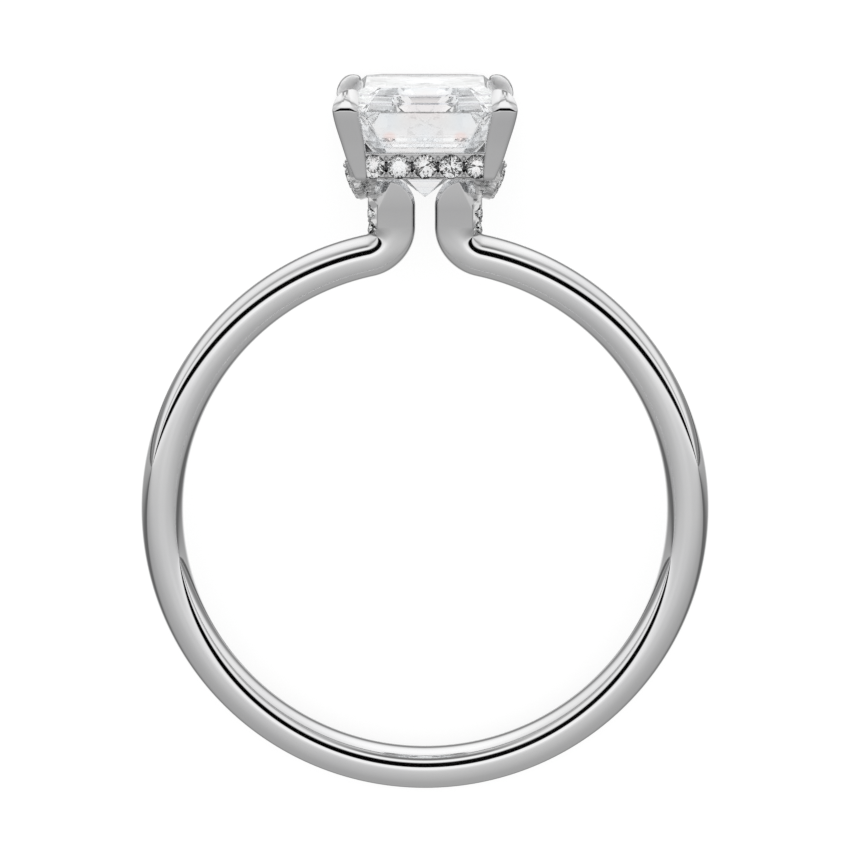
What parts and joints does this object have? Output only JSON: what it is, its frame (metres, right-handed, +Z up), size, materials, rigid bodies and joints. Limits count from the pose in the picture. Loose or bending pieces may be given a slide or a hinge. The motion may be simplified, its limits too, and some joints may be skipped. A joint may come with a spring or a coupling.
{
  "type": "hidden halo engagement ring",
  "caption": "Plain oval band whose ends turn up into twin posts under a paved gallery, with a rectangular step-cut stone in four claws.",
  "frame": {"origin": "centre of the bounding box on the surface that the ring lies on", "axes": "+Y from the finger hole towards the stone, +Z up from the surface, about 8 degrees off the finger hole's axis; +X across the ring"},
  "size_m": [0.0194, 0.0246, 0.0079],
  "materials": {
    "white_metal": "polished",
    "stone": "faceted and polished"
  },
  "bodies": {
    "root": {"mounting": "white_metal", "centre_stone": "stone"}
  },
  "joints": []
}
